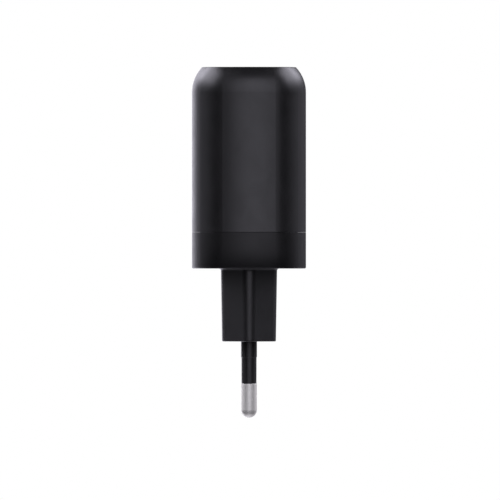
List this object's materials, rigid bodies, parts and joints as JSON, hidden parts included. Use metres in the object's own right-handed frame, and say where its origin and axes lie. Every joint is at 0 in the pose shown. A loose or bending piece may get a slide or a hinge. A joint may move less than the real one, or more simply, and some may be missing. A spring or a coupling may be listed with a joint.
{
  "type": "usb wall charger",
  "caption": "Compact two-pin europlug wall charger: rounded black body, hollow plug stem, sleeved pins and two outlet ports on the top face.",
  "frame": {"origin": "centre of the plug's engagement face, the flat end of the stem that meets the socket", "axes": "+Z away from the socket, through the body to the ports; X is the thickness; Y is the width and the line through the two pins"},
  "size_m": [0.029, 0.046, 0.0892],
  "materials": {
    "housing": "satin black moulded plastic, fine spark-eroded texture",
    "cover": "satin black moulded plastic, fine spark-eroded texture",
    "plate": "black, smoother than the housing",
    "pin_metal": "nickel-plated brass, turned and lightly satin",
    "sleeve": "black insulating sleeve",
    "carrier": "dark grey moulded plastic",
    "strip": "pressed strip",
    "board": "green solder mask over glass epoxy",
    "ceramic": "glazed ceramic",
    "tinned": "tin plated",
    "thermistor": "epoxy dipped",
    "filmcap": "yellow moulded case",
    "ycap": "blue epoxy dipped",
    "ferrite": "sintered ferrite",
    "copper": "enamelled copper wire",
    "ic": "moulded package",
    "can": "drawn can, scored top",
    "capsleeve": "shrunk film sleeve",
    "bung": "moulded rubber",
    "bobbin": "phenolic moulding",
    "tape": "polyester tape",
    "chipparts": "chip capacitors and resistors",
    "solder": "solder",
    "spreader": "rolled sheet",
    "pad": "silicone gap pad",
    "film": "polyester sheet",
    "shell": "nickel-plated sheet",
    "tongue": "glass-filled moulding",
    "gold": "gold flash",
    "steel": "pressed sheet"
  },
  "bodies": {
    "charger": {"base_cover": "cover", "bridge_rectifier": "ic", "bulk_capacitor_bungs": "bung", "bulk_capacitor_cans": "can", "bulk_capacitor_sleeves": "capsleeve", "choke_core": "ferrite", "choke_windings": "copper", "component_leads": "tinned", "contact_strip_front": "strip", "contact_strip_rear": "strip", "fuse_end_caps": "tinned", "heat_spreader": "spreader", "housing_shell": "housing", "inrush_thermistor": "thermistor", "insulation_sheet": "film", "main_pcb": "board", "mains_fuse": "ceramic", "optocoupler": "ic", "output_capacitor_bases": "bobbin", "output_capacitor_cans": "can", "output_inductor": "ferrite", "pd_controller_chip": "ic", "pin_carrier": "carrier", "pin_sleeve_front": "sleeve", "pin_sleeve_rear": "sleeve", "plug_pin_front": "pin_metal", "plug_pin_rear": "pin_metal", "port_pcb": "board", "port_plate": "plate", "smd_components": "chipparts", "solder_joints": "solder", "switch_controller_chip": "ic", "sync_rectifier_chip": "ic", "thermal_pad": "pad", "transformer_bobbin": "bobbin", "transformer_core": "ferrite", "transformer_pins": "tinned", "transformer_tape": "tape", "transformer_winding": "copper", "usb_a_contact_tails": "gold", "usb_a_shell": "shell", "usb_a_tongue": "tongue", "usb_c_contacts": "gold", "usb_c_midplate": "steel", "usb_c_shell": "shell", "usb_c_tongue": "tongue", "x_capacitor": "filmcap", "y_capacitor": "ycap"},
    "contact_1": {"usb_a_contact_1": "gold"},
    "contact_2": {"usb_a_contact_2": "gold"},
    "contact_3": {"usb_a_contact_3": "gold"},
    "contact_4": {"usb_a_contact_4": "gold"}
  },
  "joints": [
    {"name": "contact_1_flex", "type": "hinge", "parent": "charger", "child": "contact_1", "pos_m": [-0.00054, 0.0053, 0.0612], "axis": [0, -1, 0], "range_deg": [0, 4], "stiffness_Nm_per_rad": 0.05},
    {"name": "contact_2_flex", "type": "hinge", "parent": "charger", "child": "contact_2", "pos_m": [-0.00054, 0.0078, 0.0612], "axis": [0, -1, 0], "range_deg": [0, 4], "stiffness_Nm_per_rad": 0.05},
    {"name": "contact_3_flex", "type": "hinge", "parent": "charger", "child": "contact_3", "pos_m": [-0.00054, 0.0098, 0.0612], "axis": [0, -1, 0], "range_deg": [0, 4], "stiffness_Nm_per_rad": 0.05},
    {"name": "contact_4_flex", "type": "hinge", "parent": "charger", "child": "contact_4", "pos_m": [-0.00054, 0.0123, 0.0612], "axis": [0, -1, 0], "range_deg": [0, 4], "stiffness_Nm_per_rad": 0.05}
  ]
}
